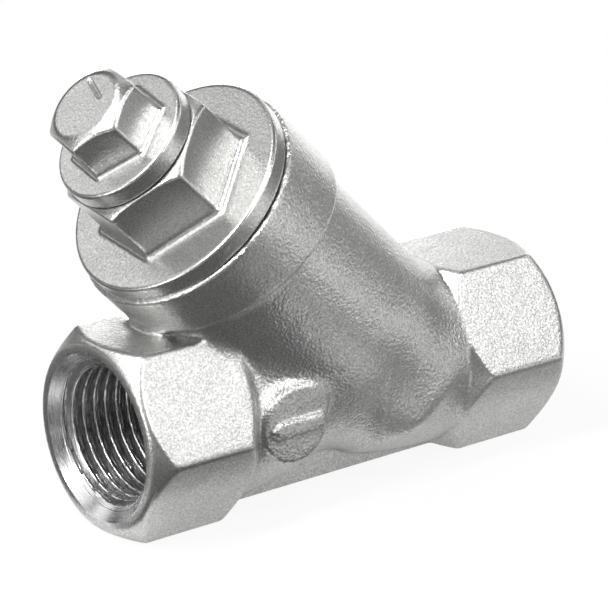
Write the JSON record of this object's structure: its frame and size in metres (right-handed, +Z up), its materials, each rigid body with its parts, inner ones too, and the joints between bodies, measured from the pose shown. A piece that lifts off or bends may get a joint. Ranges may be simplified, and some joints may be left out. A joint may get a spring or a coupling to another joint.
{
  "type": "combination valve",
  "caption": "Small Y-pattern valve in cast stainless steel that joins a strainer and a spring check valve, with two hexagonal threaded ports and a drain plug in its slanted cap.",
  "frame": {"origin": "underside of the body's rib, in the valve's middle plane, midway between the two port faces", "axes": "+X along the pipe towards the inlet port, +Y across the valve, +Z up from the flat underside"},
  "size_m": [0.0762, 0.0336, 0.0643],
  "materials": {
    "cast_steel": "blasted investment casting",
    "bright_steel": "machined",
    "gasket": "matte",
    "seal": "matte"
  },
  "bodies": {
    "casting": {"body": "cast_steel"},
    "screen_pack": {"cap_gasket": "gasket", "strainer_screen": "bright_steel", "screen_lower_ring": "bright_steel", "screen_upper_ring": "bright_steel", "stem_guide": "bright_steel", "closing_spring": "bright_steel"},
    "cap": {"cap": "cast_steel"},
    "plug_washer": {"plug_gasket": "gasket"},
    "plug": {"drain_plug": "cast_steel"},
    "disc": {"check_disc": "bright_steel", "disc_seal": "seal", "seal_retainer": "bright_steel", "retainer_nut": "bright_steel"}
  },
  "joints": [
    {"name": "cap_lift", "type": "slide", "parent": "casting", "child": "screen_pack", "axis": [-0.7009, 0, 0.7133], "range_m": [0, 0.009]},
    {"name": "cap_turn", "type": "hinge", "parent": "screen_pack", "child": "cap", "pos_m": [0.0099, 0, 0.0135], "axis": [-0.7009, 0, 0.7133], "range_deg": [0, 2160]},
    {"name": "plug_lift", "type": "slide", "parent": "cap", "child": "plug_washer", "axis": [-0.7009, 0, 0.7133], "range_m": [0, 0.0107]},
    {"name": "plug_turn", "type": "hinge", "parent": "plug_washer", "child": "plug", "pos_m": [0.0099, 0, 0.0135], "axis": [-0.7009, 0, 0.7133], "range_deg": [0, 2880]},
    {"name": "disc_lift", "type": "slide", "parent": "casting", "child": "disc", "axis": [-0.7009, 0, 0.7133], "range_m": [0, 0.005], "stiffness_N_per_m": 250, "springref_m": -0.003, "deforming": ["closing_spring"]}
  ],
  "couplings": [
    {"joint": "cap_lift", "follows": "cap_turn", "m_per_rad": 0.00023873},
    {"joint": "plug_lift", "follows": "plug_turn", "m_per_rad": 0.00021279}
  ]
}
